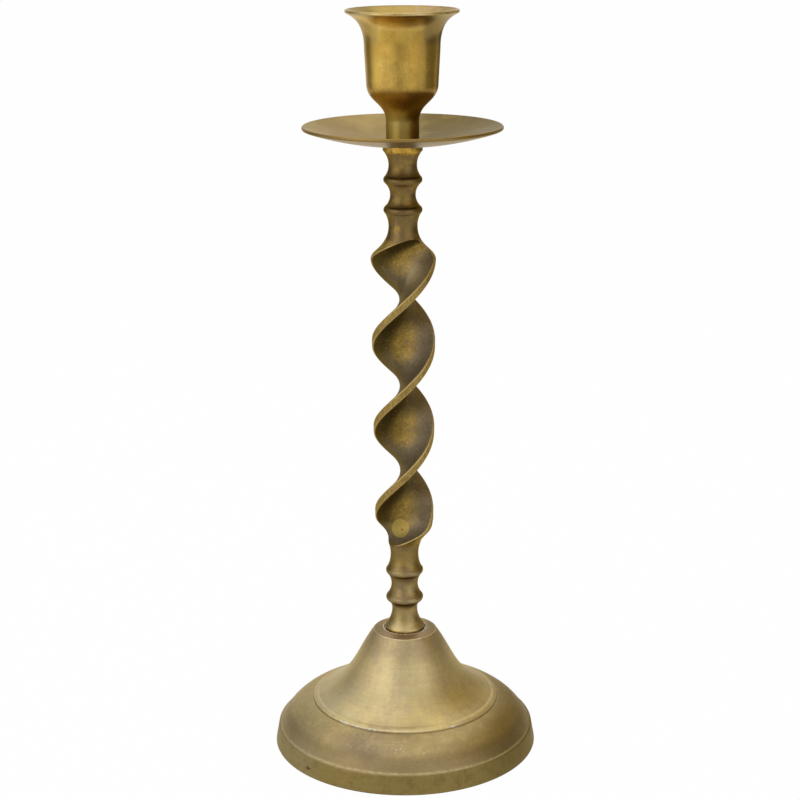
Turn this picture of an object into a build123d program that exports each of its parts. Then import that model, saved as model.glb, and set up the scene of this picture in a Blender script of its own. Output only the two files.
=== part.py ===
from build123d import *
import os
from math import cos, radians, sin

# Spiral candle holder: a brass candlestick in eight pieces that screw together.
# Millimetres, +Z up. The origin is the middle of the base's bottom rim, so the
# holder stands on the plane Z = 0 and its front faces -Y.
# Turned outlines are drawn as (radius, height) and spun about Z.

# Base: a hollow casting, turned outside
base_radius = 50.5
rim_thickness = 2.4
skirt_height = 7.1
skirt_lean = 1.3
ledge_width = 1.1
ledge_rise = 0.5
band_radius = 35.6
band_height = 18.2
band_step = 0.6
band_width = 2.2
band_rise = 1.0
band_bulge = 0.18
cushion_bulge = 1.7
seat_ring_width = 4.0
seat_ring_height = 45.3
seat_ring_rise = 0.7
bell_top_lean = 36.0
bell_top_pull = 12.2
bell_foot_lean = 64.0
bell_foot_pull = 14.8
recess_depth = 0.6
recess_gap = 0.45
plate_thickness = 2.8
wall = 1.8

# Stem: rings, necks and trumpets, from its foot upwards
foot_radius = 7.55
foot_edge = 2.0
foot_rounding = 0.35
ring_radius = 7.1
ring_edge_radius = 6.5
ring_height = 2.5
collar_radius = 7.25
collar_height = 2.0
foot_neck_radius = 4.8
lower_ring_neck_radius = 5.05
upper_ring_neck_radius = 4.65
trumpet_neck_radius = 5.3
collar_neck_radius = 5.15
foot_to_neck = 8.6
foot_to_ring = 13.1
ring_spacing = 11.0
lower_ring_to_neck = 6.5
lower_trumpet = 12.6
twist_length = 101.4
upper_trumpet = 12.8
upper_neck_to_ring = 5.8
ring_to_collar = 12.6
neck_pull_share = 0.62
rim_pull_share = 0.33

# Twist: a flat bar, thickest at its two outer edges, wound right-handed
twist_top_radius = 12.0
twist_bottom_radius = 11.0
twist_turns = 1.536
twist_start_angle = -22.6
bar_core_thickness = 3.0
bar_edge_thickness = 4.0
runout_radius = 10.0

# Drip pan: a shallow dish with a flat middle
pan_radius = 36.3
pan_thickness = 1.3
pan_flat_margin = 0.35
pan_rise = 5.55
pan_mid_rise_share = 0.335
pan_edge_rounding = 0.5

# Candle cup: a neck, a rounded bottom, a socket for a 22 mm candle and a flared lip
neck_radius = 6.0
neck_height = 7.0
cup_bottom_rise = 13.8
cup_bottom_pull_share = 0.515
cup_wall = 1.65
cup_taper = 0.65
cup_body_height = 12.2
flare_height = 12.25
flare_reach = 6.8
lip_width = 1.2
lip_thickness = 1.25
lip_rounding = 0.45
flare_body_pull = 9.0
flare_lip_pull = 3.0
flare_lip_lean = 60.0
socket_radius = 11.3
socket_floor_drop = 1.6
socket_depth = 17.0
socket_flare_pull = 7.0
socket_lip_pull = 2.5

# Studs, washer and nut: M6
stud_radius = 3.0
stud_chamfer = 0.6
thread_clearance = 0.05
hole_clearance = 0.25
cup_stud_in_stem = 10.0
cup_stud_in_cup = 10.5
base_stud_in_stem = 12.0
tip_gap = 0.5
washer_radius = 6.0
washer_thickness = 1.6
nut_across_flats = 10.0
nut_height = 5.0
nut_chamfer = 0.7
stud_past_nut = 2.0

# Twisted cutters: reach past the bar, and how finely they are wound
cutter_overrun = 4.0
degrees_per_section = 12.0
runout_sections = 6

# Heights that these sizes add up to
seat_height = seat_ring_height + seat_ring_rise - recess_depth
plate_underside = seat_height - plate_thickness
low_ring = seat_height + foot_to_ring
second_ring = low_ring + ring_spacing
low_trumpet_neck = second_ring + lower_ring_to_neck
twist_bottom = low_trumpet_neck + lower_trumpet
twist_top = twist_bottom + twist_length
high_trumpet_neck = twist_top + upper_trumpet
third_ring = high_trumpet_neck + upper_neck_to_ring
top_ring = third_ring + ring_spacing
collar_top = top_ring + ring_to_collar
cup_seat = collar_top + pan_thickness

# Radii that follow from what fits together
thread_radius = stud_radius + thread_clearance
through_radius = stud_radius + hole_clearance
recess_radius = foot_radius + recess_gap
seat_ring_radius = recess_radius + seat_ring_width
pan_flat_radius = max(collar_radius, neck_radius) + pan_flat_margin
cup_low_radius = socket_radius + cup_wall
cup_high_radius = cup_low_radius + cup_taper
lip_radius = cup_high_radius + flare_reach
cutter_width = max(twist_top_radius, twist_bottom_radius) + cutter_overrun
cutter_reach = cutter_width + cutter_overrun


def turned(outline):
    """Spin a closed outline of (radius, height) edges about Z."""
    return revolve(Plane.XZ * make_face(outline), Axis.Z)


def leaning(lean, length):
    """A step outwards and down, leaning by some degrees from the vertical."""
    return Vector(sin(radians(lean)), -cos(radians(lean))) * length


def tube(outer, inner, low, high):
    """A plain ring or, with no inner radius, a plain bar between two heights."""
    section = Circle(outer) - Circle(inner) if inner else Circle(outer)
    return extrude(Pos(0, 0, low) * section, high - low)


def bell_curve(shift):
    """The bell's side, from the seat ring down to the band at its foot."""
    top = Vector(seat_ring_radius, seat_ring_height) + shift
    foot = Vector(band_radius - band_width, band_height + band_rise) + shift
    top_pull = top + leaning(bell_top_lean, bell_top_pull)
    foot_pull = foot - leaning(bell_foot_lean, bell_foot_pull)
    return Bezier(top, top_pull, foot_pull, foot)


def make_base():
    """The bell, the rounded shoulder below it and the skirt, hollow underneath."""
    outside = Vector(0, 0)
    inside = Vector(-wall, plate_underside - seat_ring_height)
    ledge = Vector(base_radius - skirt_lean - ledge_width, skirt_height + ledge_rise)
    shoulder = Vector(band_radius, band_height - band_step)

    bell = bell_curve(outside)
    band = SagittaArc(bell @ 1, (band_radius, band_height), band_bulge)
    step = Line(band @ 1, shoulder)
    cushion = SagittaArc(shoulder, ledge, cushion_bulge)
    skirt = Polyline(
        ledge,
        (base_radius - skirt_lean, skirt_height),
        (base_radius, 0),
        (base_radius - rim_thickness, 0),
        ledge + inside,
    )
    inner_bell = bell_curve(inside)
    inner_cushion = SagittaArc(inner_bell @ 1, ledge + inside, cushion_bulge)
    top = Polyline(
        inner_bell @ 0,
        (through_radius, plate_underside),
        (through_radius, seat_height),
        (recess_radius, seat_height),
        (recess_radius, seat_ring_height + seat_ring_rise),
        bell @ 0,
    )
    return turned([bell, band, step, cushion, skirt, inner_bell, inner_cushion, top])


def ring(height):
    """One turned ring, from its lower edge over its tip to its upper edge."""
    low = (ring_edge_radius, height - ring_height / 2)
    high = (ring_edge_radius, height + ring_height / 2)
    return ThreePointArc(low, (ring_radius, height), high)


def ring_cove(lower, upper, waist_radius):
    """The even hollow between two rings."""
    low = lower @ 1
    high = upper @ 0
    return ThreePointArc(low, (waist_radius, (low.Y + high.Y) / 2), high)


def cove(low, waist, high):
    """A hollow between two unlike edges, upright where it is narrowest."""
    up = (0, 1)
    down = (0, -1)
    return [TangentArc(waist, low, tangent=down), TangentArc(waist, high, tangent=up)]


def trumpet(neck_height, rim_radius, rim_height):
    """The flare from a neck out to the twist's edge."""
    neck = Vector(trumpet_neck_radius, neck_height)
    rim = Vector(rim_radius, rim_height)
    span = Vector(0, rim_height - neck_height)
    return Bezier(neck, neck + span * neck_pull_share, rim - span * rim_pull_share, rim)


def stem_blank():
    """The stem as it leaves the lathe, before the twist is cut."""
    rings = [ring(height) for height in (low_ring, second_ring, third_ring, top_ring)]
    foot_top = Vector(foot_radius - foot_rounding, seat_height + foot_edge)
    foot_side = Vector(foot_radius, seat_height + foot_edge / 2)
    foot_low = Vector(foot_radius - foot_rounding, seat_height)
    collar_low = Vector(collar_radius, collar_top - collar_height)
    low_neck = Vector(foot_neck_radius, seat_height + foot_to_neck)
    collar_neck = Vector(collar_neck_radius, (top_ring + collar_low.Y) / 2)
    lower_neck = Vector(trumpet_neck_radius, low_trumpet_neck)
    upper_neck = Vector(trumpet_neck_radius, high_trumpet_neck)

    foot = ThreePointArc(foot_low, foot_side, foot_top)
    lower_trumpet_side = trumpet(low_trumpet_neck, twist_bottom_radius, twist_bottom)
    upper_trumpet_side = trumpet(high_trumpet_neck, twist_top_radius, twist_top)
    outline = [
        Line((0, seat_height), foot_low),
        foot,
        *cove(foot_top, low_neck, rings[0] @ 0),
        rings[0],
        ring_cove(rings[0], rings[1], lower_ring_neck_radius),
        rings[1],
        TangentArc(lower_neck, rings[1] @ 1, tangent=(0, -1)),
        lower_trumpet_side,
        Line(lower_trumpet_side @ 1, upper_trumpet_side @ 1),
        upper_trumpet_side,
        TangentArc(upper_neck, rings[2] @ 0, tangent=(0, 1)),
        rings[2],
        ring_cove(rings[2], rings[3], upper_ring_neck_radius),
        rings[3],
        *cove(rings[3] @ 1, collar_neck, collar_low),
        Polyline(collar_low, (collar_radius, collar_top), (0, collar_top), (0, seat_height)),
    ]
    return turned(outline)


def cutter_stations():
    """Height and half thickness of the bar wherever a cutter section stands."""
    core = bar_core_thickness / 2
    count = round(360 * twist_turns / degrees_per_section)
    stations = [(twist_bottom + twist_length * i / count, core) for i in range(count + 1)]
    for i in range(1, runout_sections + 1):
        angle = radians(90 * i / runout_sections)
        reach = runout_radius * sin(angle)
        half = core + runout_radius * (1 - cos(angle))
        stations.insert(0, (twist_bottom - reach, half))
        stations.append((twist_top + reach, half))
    return stations


def cutter_section(height, half):
    """What lies beyond one face of the bar, at one height."""
    flare = (bar_edge_thickness - bar_core_thickness) / 2
    edge = half + flare * (cutter_width / twist_top_radius) ** 2
    left = Vector(-cutter_width, edge)
    right = Vector(cutter_width, edge)
    face = ThreePointArc(left, (0, half), right)
    back = Polyline(right, (cutter_width, cutter_reach), (-cutter_width, cutter_reach), left)
    angle = twist_start_angle + 360 * twist_turns * (height - twist_bottom) / twist_length
    return Pos(0, 0, height) * Rot(0, 0, angle) * make_face([face, back])


def make_stem():
    """The turned blank with both faces of the twisted bar cut out of it."""
    cutter = loft([cutter_section(height, half) for height, half in cutter_stations()])
    stem = stem_blank() - cutter - Rot(0, 0, 180) * cutter
    foot_hole = tube(thread_radius, 0, seat_height, seat_height + base_stud_in_stem + tip_gap)
    collar_hole = tube(thread_radius, 0, collar_top - cup_stud_in_stem - tip_gap, collar_top)
    return stem - foot_hole - collar_hole


def make_drip_pan():
    """A shallow dish, flat where the collar and the cup clamp it."""
    thickness = Vector(0, pan_thickness)
    hole = Vector(through_radius, collar_top)
    flat = Vector(pan_flat_radius, collar_top)
    rim = Vector(pan_radius - pan_edge_rounding, collar_top + pan_rise)
    rim_side = Vector(pan_radius, rim.Y + pan_thickness / 2)
    middle = Vector((flat.X + rim.X) / 2, collar_top + pan_rise * pan_mid_rise_share)
    outline = [
        Line(hole, flat),
        ThreePointArc(flat, middle, rim),
        ThreePointArc(rim, rim_side, rim + thickness),
        ThreePointArc(rim + thickness, middle + thickness, flat + thickness),
        Polyline(flat + thickness, hole + thickness, hole),
    ]
    return turned(outline)


def make_candle_cup():
    """Neck, rounded bottom and socket, opening into a flared lip."""
    neck_top = cup_seat + neck_height
    body_low = neck_top + cup_bottom_rise
    body_high = body_low + cup_body_height
    lip_under = body_high + flare_height
    rim = lip_under + lip_thickness
    floor = body_low - socket_floor_drop
    socket_top = floor + socket_depth
    stud_end = cup_seat + cup_stud_in_cup + tip_gap
    bottom_pull = Vector(0, cup_bottom_rise * cup_bottom_pull_share)

    neck = Vector(neck_radius, neck_top)
    low = Vector(cup_low_radius, body_low)
    high = Vector(cup_high_radius, body_high)
    lip = Vector(lip_radius - lip_rounding, lip_under)
    lip_side = Vector(lip_radius, lip_under + lip_thickness / 2)
    lip_top = Vector(lip_radius - lip_rounding, rim)
    mouth = Vector(lip_radius - lip_width, rim)
    socket = Vector(socket_radius, socket_top)
    flare_pull = high + Vector(0, flare_body_pull)
    lip_direction = Vector(sin(radians(flare_lip_lean)), cos(radians(flare_lip_lean)))
    lip_pull = lip - lip_direction * flare_lip_pull
    mouth_pull = mouth - lip_direction * socket_lip_pull
    outline = [
        Polyline((0, stud_end), (thread_radius, stud_end), (thread_radius, cup_seat)),
        Polyline((thread_radius, cup_seat), (neck_radius, cup_seat), neck),
        Bezier(neck, neck + bottom_pull, low - bottom_pull, low),
        Line(low, high),
        Bezier(high, flare_pull, lip_pull, lip),
        ThreePointArc(lip, lip_side, lip_top),
        Line(lip_top, mouth),
        Bezier(mouth, mouth_pull, socket + Vector(0, socket_flare_pull), socket),
        Polyline(socket, (socket_radius, floor), (0, floor), (0, stud_end)),
    ]
    return turned(outline)


def make_stud(low, high):
    """A stud with chamfered ends."""
    stud = tube(stud_radius, 0, low, high)
    return chamfer(stud.edges().filter_by(GeomType.CIRCLE), stud_chamfer)


def make_washer():
    """The plain washer under the base's top plate."""
    return tube(washer_radius, through_radius, plate_underside - washer_thickness, plate_underside)


def make_nut():
    """A hex nut with its corners turned off at both ends."""
    high = plate_underside - washer_thickness
    low = high - nut_height
    hexagon = RegularPolygon(nut_across_flats / 2, 6, major_radius=False)
    corner_radius = Vector(*hexagon.vertices()[0]).length
    prism = extrude(Pos(0, 0, low) * hexagon, nut_height)
    blank = chamfer(tube(corner_radius, 0, low, high).edges().filter_by(GeomType.CIRCLE), nut_chamfer)
    return (prism & blank) - tube(thread_radius, 0, low, high)


nut_low = plate_underside - washer_thickness - nut_height
pieces = {
    "base": make_base(),
    "stem": make_stem(),
    "drip_pan": make_drip_pan(),
    "candle_cup": make_candle_cup(),
    "cup_stud": make_stud(collar_top - cup_stud_in_stem, cup_seat + cup_stud_in_cup),
    "base_stud": make_stud(nut_low - stud_past_nut, seat_height + base_stud_in_stem),
    "base_washer": make_washer(),
    "base_nut": make_nut(),
}

os.makedirs("parts", exist_ok=True)
for name, piece in pieces.items():
    export_step(piece, f"parts/{name}.step")
    print(name, "volume", round(piece.volume, 1))
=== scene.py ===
# %% [markdown]
# A candle holder with a twisted stem
#
# The holder is four brass pieces on one screw-together stand: a turned bell of a base, a stem whose middle
# is a flat bar wound like a ribbon, a thin drip pan and a flared cup. Plain steel fasteners hold them
# together. The imported CAD model gives every place and size, so it is loaded first and its boxes are read
# for the sizes below.

# %% Load the frame
import math

import bmesh
import bpy
from mathutils import Matrix, Vector


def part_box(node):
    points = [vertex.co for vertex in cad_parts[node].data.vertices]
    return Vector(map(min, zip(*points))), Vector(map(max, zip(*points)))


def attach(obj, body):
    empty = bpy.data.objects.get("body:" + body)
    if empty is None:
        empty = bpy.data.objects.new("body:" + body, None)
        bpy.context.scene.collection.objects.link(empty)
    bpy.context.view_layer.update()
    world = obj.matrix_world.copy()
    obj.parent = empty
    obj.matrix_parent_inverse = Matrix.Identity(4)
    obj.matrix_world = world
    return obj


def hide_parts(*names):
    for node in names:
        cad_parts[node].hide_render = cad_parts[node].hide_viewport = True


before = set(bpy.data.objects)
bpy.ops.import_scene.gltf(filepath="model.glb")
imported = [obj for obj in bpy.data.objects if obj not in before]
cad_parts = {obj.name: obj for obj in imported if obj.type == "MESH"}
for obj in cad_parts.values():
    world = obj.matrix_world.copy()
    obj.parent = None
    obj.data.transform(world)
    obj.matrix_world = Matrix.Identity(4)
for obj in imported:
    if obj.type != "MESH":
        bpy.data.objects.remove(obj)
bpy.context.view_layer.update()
mm = 0.001

# %% [markdown]
# The camera
#
# A product photo of something tall is taken from a little above, with a long lens from close by. The lens,
# the distance and the tilt below make the ellipses of the lip, the pan and the base as round as they are in
# the photograph. The roll is the lean that the photograph has.

# %% Camera
camera_lens_mm = 84.03
camera_back = 671.1 * mm
camera_height = 325.9 * mm
camera_left = 1.42 * mm
camera_pitch_deg = 15.74
camera_roll_deg = 0.29


def placed(name, data):
    """A new object in the scene."""
    made = bpy.data.objects.new(name, data)
    bpy.context.scene.collection.objects.link(made)
    return made


camera = placed("camera", bpy.data.cameras.new("camera"))
camera.data.lens = camera_lens_mm
tilt = Matrix.Rotation(math.radians(90 - camera_pitch_deg), 4, "X")
roll = Matrix.Rotation(math.radians(-camera_roll_deg), 4, "Z")
camera.matrix_world = Matrix.Translation((-camera_left, -camera_back, camera_height)) @ tilt @ roll
bpy.context.scene.camera = camera
print("camera at", [round(x, 3) for x in camera.location])

# %% [markdown]
# Writing nodes as sums
#
# Node trees are easier to read as arithmetic than as boxes and wires. One small class wraps a socket, so
# that `1 - mask` or `radius * 2` adds the Math node that it names. A second one holds the tree and makes
# every other node from its type, its settings and what goes into its sockets. Both geometry and materials
# use it.


# %% Sockets that take part in sums
def adds_math(operation, turned_round=False):
    """A Python operator that adds one Math node."""

    def work(self, other):
        pair = (other, self) if turned_round else (self, other)
        return self.net.math(operation, *pair)

    return work


class Value:
    """A node's output that takes part in Python sums."""

    def __init__(self, net, socket):
        self.net = net
        self.socket = socket

    __add__ = adds_math("ADD")
    __radd__ = adds_math("ADD", True)
    __sub__ = adds_math("SUBTRACT")
    __rsub__ = adds_math("SUBTRACT", True)
    __mul__ = adds_math("MULTIPLY")
    __rmul__ = adds_math("MULTIPLY", True)
    __truediv__ = adds_math("DIVIDE")
    __pow__ = adds_math("POWER")
    __gt__ = adds_math("GREATER_THAN")
    __lt__ = adds_math("LESS_THAN")

    def __neg__(self):
        return self * -1.0

    def __abs__(self):
        return self.net.math("ABSOLUTE", self)

    def fade(self, start, end):
        """0 at start and 1 at end, with a soft slope between them."""
        sockets = {"Value": self, "From Min": start, "From Max": end}
        return self.net.node("ShaderNodeMapRange", sockets, {"interpolation_type": "SMOOTHSTEP"})

    def near(self, centre, reach):
        """1 at a value, falling softly to 0 at some distance from it."""
        return abs(self - centre).fade(reach, 0.0)


class Net:
    """A node tree that is written as Python expressions."""

    def __init__(self, tree):
        self.tree = tree

    def node(self, kind, sockets=None, settings=None, output=0):
        """Add a node: its settings first, then values or links for its sockets."""
        made = self.tree.nodes.new(kind)
        for name, value in (settings or {}).items():
            setattr(made, name, value)
        for name, value in (sockets or {}).items():
            if isinstance(value, Value):
                self.tree.links.new(value.socket, made.inputs[name])
            else:
                made.inputs[name].default_value = value
        return Value(self, made.outputs[output]) if made.outputs else made

    def math(self, operation, *values):
        return self.node("ShaderNodeMath", dict(enumerate(values)), {"operation": operation})

    def lowest(self, a, b):
        return self.math("MINIMUM", a, b)

    def highest(self, first, *others):
        for other in others:
            first = self.math("MAXIMUM", first, other)
        return first

    def root(self, value):
        return self.math("SQRT", self.highest(value, 0.0))

    def vector(self, x, y, z):
        return self.node("ShaderNodeCombineXYZ", {"X": x, "Y": y, "Z": z})

    def polar(self, radius, angle):
        """The x and the y of a point at some radius and angle."""
        return radius * self.math("COSINE", angle), radius * self.math("SINE", angle)

    def split(self, vector):
        parts = self.node("ShaderNodeSeparateXYZ", {"Vector": vector})
        return [Value(self, socket) for socket in parts.socket.node.outputs]


def blank(owner):
    """The emptied node tree of a material or a world."""
    owner.use_nodes = True
    owner.node_tree.nodes.clear()
    return owner.node_tree


print("node writer ready")

# %% [markdown]
# Outlines for the lathe
#
# The base, the pan, the cup and the stem's ends are turned, so each is one outline of radius and height,
# spun about the axis. An outline is a chain of straight lines, arcs and curves. Real edges are never
# perfectly sharp, and the thin bright line along an edge is what tells the eye so, so a number between two
# runs of a chain rounds the corner where they meet.


# %% Lines, arcs and rounded corners
corner_steps = 4
crease_rounding = 0.1
fine_rounding = 0.15
small_rounding = 0.2
ring_rounding = 0.25
edge_rounding = 0.3
seat_rounding = 0.35


def at(radius, height):
    """A point of an outline."""
    return Vector((radius, height))


def line(start, end, steps=1):
    """A straight run of points."""
    start, end = Vector(start), Vector(end)
    return [start.lerp(end, i / steps) for i in range(steps + 1)]


def through(*points):
    """Straight runs from point to point."""
    return [Vector(point) for point in points]


def bezier(start, pull, end_pull, end, steps):
    """A cubic curve between two points, drawn towards two others."""
    points = []
    for i in range(steps + 1):
        t = i / steps
        weights = ((1 - t) ** 3, 3 * t * (1 - t) ** 2, 3 * t * t * (1 - t), t**3)
        corners = (start, pull, end_pull, end)
        points.append(sum((Vector(c) * w for c, w in zip(corners, weights)), at(0, 0)))
    return points


def arc(start, middle, end, steps):
    """The part of a circle that passes through three points."""
    a, b, c = Vector(start), Vector(middle), Vector(end)
    turn = (b - a).cross(c - a) * 2
    ab, ac = (b - a).length_squared, (c - a).length_squared
    offset = at((c - a).y * ab - (b - a).y * ac, (b - a).x * ac - (c - a).x * ab) / turn
    centre = a + offset
    begin = math.atan2(*reversed(a - centre))
    sweep = math.atan2(*reversed(c - centre)) - begin
    sweep = (sweep + math.pi) % math.tau - math.pi
    radius = offset.length
    angles = [begin + sweep * i / steps for i in range(steps + 1)]
    return [centre + at(math.cos(t), math.sin(t)) * radius for t in angles]


def bowed(start, end, bulge, steps):
    """An arc whose middle stands out from the straight line by a bulge."""
    start, end = Vector(start), Vector(end)
    along = (end - start).normalized()
    middle = (start + end) / 2 + at(-along.y, along.x) * bulge
    return arc(start, middle, end, steps)


def waisted(waist, end, steps):
    """A quarter of a cove: an arc that leaves the waist upright."""
    waist, end = Vector(waist), Vector(end)
    step = end - waist
    radius = step.length_squared / (2 * step.x)
    sweep = math.atan2(step.y, radius - step.x)
    angles = [sweep * i / steps for i in range(steps + 1)]
    return [waist + at(radius - radius * math.cos(t), radius * math.sin(t)) for t in angles]


def cut_back(points, length):
    """A run of points with a length taken off its end."""
    points = list(points)
    while len(points) > 2 and (points[-1] - points[-2]).length <= length:
        length -= (points[-1] - points[-2]).length
        points.pop()
    last = points[-1] - points[-2]
    keep = max(last.length - length, last.length / 2)
    points[-1] = points[-2] + last.normalized() * keep
    return points


def chain(*parts):
    """Join runs of points; a number between two runs rounds the corner where they meet."""
    points = list(parts[0])
    rounding = 0.0
    for part in parts[1:]:
        if isinstance(part, float):
            rounding = part
            continue
        run = list(part)
        if rounding:
            corner = run[0]
            points = cut_back(points, rounding)
            run = cut_back(run[::-1], rounding)[::-1]
            pulls = [corner.lerp(end, 1 / 3) for end in (points[-1], run[0])]
            points += bezier(points[-1], *pulls, run[0], corner_steps)[1:-1]
            points += run
        else:
            points += run[1:]
        rounding = 0.0
    return points


print("outline helpers ready")

# %% [markdown]
# Spinning an outline with Geometry Nodes
#
# A lathe repeats one outline all round an axis. In Geometry Nodes that is a grid whose rows are the
# outline's points and whose columns are angles: each point of the grid looks up its row's radius and height
# and moves there. Merging the doubled points closes the seam and the poles.


# %% The lathe tree
merge_distance = 0.002 * mm


def new_tree(name, inputs):
    """An empty geometry tree with named inputs, ready to be written."""
    tree = bpy.data.node_groups.new(name, "GeometryNodeTree")
    for title, kind in inputs:
        tree.interface.new_socket(title, in_out="INPUT", socket_type="NodeSocket" + kind)
    tree.interface.new_socket("Piece", in_out="OUTPUT", socket_type="NodeSocketGeometry")
    return Net(tree)


def group_input(net, name):
    """One of the tree's own inputs."""
    return net.node("NodeGroupInput", output=name)


def grid_of(net, rows, columns):
    """A grid, with the row and the column of each of its points."""
    across = columns + 1
    grid = net.node("GeometryNodeMeshGrid", {"Vertices X": rows, "Vertices Y": across})
    index = net.node("GeometryNodeInputIndex")
    row = net.math("FLOOR", (index + 0.5) / across)
    return grid, row, index - row * across


def outline_rows(net):
    """How many points the outline has."""
    sockets = {"Geometry": group_input(net, "Outline")}
    return net.node("GeometryNodeAttributeDomainSize", sockets, {"component": "MESH"}, "Point Count")


def outline_point(net, row):
    """The radius and the height of one row of the outline."""
    sockets = {
        "Geometry": group_input(net, "Outline"),
        "Value": net.node("GeometryNodeInputPosition"),
        "Index": row,
    }
    found = net.node("GeometryNodeSampleIndex", sockets, {"data_type": "FLOAT_VECTOR"})
    radius, _, height = net.split(found)
    return radius, height


def close_tree(net, grid, place, marks=()):
    """Move the grid's points, store named marks on them, and end the tree."""
    piece = net.node("GeometryNodeSetPosition", {"Geometry": grid, "Position": place})
    for name, value in marks:
        sockets = {"Geometry": piece, "Name": name, "Value": value}
        piece = net.node("GeometryNodeStoreNamedAttribute", sockets, {"data_type": "FLOAT"})
    piece = net.node("GeometryNodeMergeByDistance", {"Geometry": piece, "Distance": merge_distance})
    piece = net.node("GeometryNodeRealizeInstances", {"Geometry": piece})
    sockets = {"Geometry": piece, "Material": group_input(net, "Material")}
    piece = net.node("GeometryNodeSetMaterial", sockets)
    net.node("NodeGroupOutput", {"Piece": piece})
    return net.tree


def lathe_tree():
    """An outline spun about the axis."""
    inputs = [("Outline", "Geometry"), ("Columns", "Int"), ("Material", "Material")]
    net = new_tree("Lathe", inputs)
    columns = group_input(net, "Columns")
    grid, row, column = grid_of(net, outline_rows(net), columns)
    radius, height = outline_point(net, row)
    angle = column * math.tau / columns
    place = net.vector(*net.polar(radius, angle), height)
    return close_tree(net, grid, place)


def outline_object(name, points):
    """A mesh of points that holds an outline of radius and height, written in millimetres."""
    mesh = bpy.data.meshes.new(name)
    mesh.from_pydata([(p[0] * mm, 0, p[1] * mm) for p in points], [], [])
    return placed(name, mesh)


def grown(name, source, tree, values, sharp_deg=38.0):
    """Run a tree on an object and keep the result as a plain closed mesh."""
    modifier = source.modifiers.new(tree.name, "NODES")
    modifier.node_group = tree
    for item in tree.interface.items_tree:
        if item.name in values:
            modifier[item.identifier] = values[item.name]
    graph = bpy.context.evaluated_depsgraph_get()
    mesh = bpy.data.meshes.new_from_object(source.evaluated_get(graph))
    source.modifiers.remove(modifier)
    bpy.data.objects.remove(source)
    work = bmesh.new()
    work.from_mesh(mesh)
    bmesh.ops.recalc_face_normals(work, faces=work.faces)
    open_edges = sum(1 for edge in work.edges if not edge.is_manifold)
    work.to_mesh(mesh)
    work.free()
    mesh.shade_smooth()
    mesh.set_sharp_from_angle(angle=math.radians(sharp_deg))
    print(name, len(mesh.polygons), "faces,", open_edges, "open edges")
    return placed(name, mesh)


lathe = lathe_tree()


def turned(name, outline, columns, material):
    """A piece spun from its outline."""
    return grown(name, outline, lathe, {"Columns": columns, "Material": material})


print("lathe ready")

# %% [markdown]
# Aged brass
#
# Old brass is one metal with many skins: bright where hands rub it, olive or brown where it has tarnished,
# and paler where polish dried. Some coats are painted light and shade instead: darker creases, paler and
# darker sides, highlights and reflections laid into the colour. So every brass material here is built the
# same way: it starts from one tone, takes coats of other tones by place, and ends in one metal shader.
# Places come from Object coordinates, in millimetres: radius and height on the turned pieces, so that lathe
# marks run round and stains stay put.


# %% Brass building blocks
def tone(red, green, blue):
    """A colour written as it looks on screen, from 0 to 255, for a shader."""
    linear = [((c / 255 + 0.055) / 1.055) ** 2.4 if c > 10 else c / 255 / 12.92 for c in (red, green, blue)]
    return (*linear, 1.0)


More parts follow.
